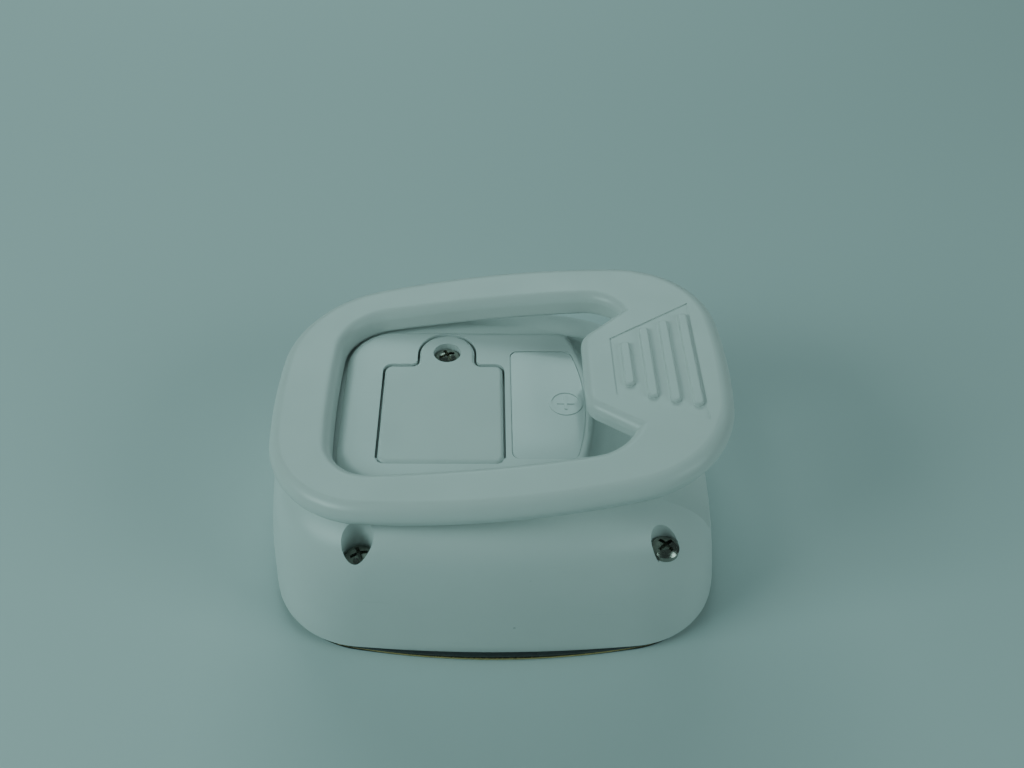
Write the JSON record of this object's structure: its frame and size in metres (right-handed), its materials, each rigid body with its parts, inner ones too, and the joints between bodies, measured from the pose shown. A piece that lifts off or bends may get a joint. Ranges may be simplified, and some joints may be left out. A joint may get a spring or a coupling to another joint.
{
  "type": "clip-on electronic alarm",
  "caption": "Rounded white battery device on its front face, with a big sprung loop clip, a screw-locked coin cell door, deep case screws and a push button in front.",
  "frame": {"origin": "middle of the front cover's outer face, which the device lies on", "axes": "+X from the clip's hinged end to its free end, +Y towards the battery door's screw tab, +Z out of the back, through the battery door"},
  "size_m": [0.0837, 0.0702, 0.0417],
  "materials": {
    "case_white": "satin, fine moulded texture",
    "clip_white": "satin, slightly warmer white than the case",
    "door_white": "satin",
    "label_gloss": "smooth glossy white",
    "cover_dark": "dark, smooth",
    "trim_gold": "bright gold-coloured line",
    "button_grey": "satin",
    "window_clear": "clear light pipe",
    "screw_steel": "dark plated steel, smooth",
    "spring_steel": "bright drawn wire",
    "contact_nickel": "nickel plated",
    "cell_steel": "brushed stainless can",
    "foam_black": "closed-cell foam",
    "tray_black": "black moulding",
    "board_green": "solder-masked glass laminate",
    "chip_black": "moulded package",
    "part_brown": "ceramic chip parts",
    "can_aluminium": "capacitor can",
    "coil_ferrite": "ferrite",
    "switch_metal": "stamped switch cover",
    "led_red": "tinted diffused lamp",
    "disc_brass": "piezo disc",
    "ring_grey": "moulded ring"
  },
  "bodies": {
    "case": {"rear_case": "case_white", "front_cover": "cover_dark", "trim_ring": "trim_gold", "label_panel": "label_gloss", "hinge_pin": "spring_steel", "torsion_spring": "spring_steel", "case_screws": "screw_steel", "coin_cell": "cell_steel", "battery_tray": "tray_black", "contact_negative": "contact_nickel", "contact_positive": "contact_nickel", "circuit_board": "board_green", "board_screws": "screw_steel", "controller_chip": "chip_black", "board_resistors": "part_brown", "board_capacitor": "can_aluminium", "drive_coil": "coil_ferrite", "tact_switch": "switch_metal", "led": "led_red", "led_window": "window_clear", "sounder_ring": "ring_grey", "sounder_disc": "disc_brass"},
    "clip": {"clip_loop": "clip_white"},
    "door": {"battery_door": "door_white", "door_screw": "screw_steel", "door_pad": "foam_black"},
    "button": {"push_button": "button_grey"}
  },
  "joints": [
    {"name": "clip_hinge", "type": "hinge", "parent": "case", "child": "clip", "pos_m": [-0.0364, 0, 0.0235], "axis": [0, -1, 0], "range_deg": [0, 24], "stiffness_Nm_per_rad": 0.5, "springref_deg": -34.38, "deforming": ["torsion_spring"]},
    {"name": "door_hinge", "type": "hinge", "parent": "case", "child": "door", "pos_m": [-0.01, -0.0136, 0.029], "axis": [1, 0, 0], "range_deg": [0, 75]},
    {"name": "button_press", "type": "slide", "parent": "case", "child": "button", "axis": [0, 0, 1], "range_m": [0, 0.0005], "stiffness_N_per_m": 1200, "springref_m": -0.0005}
  ]
}
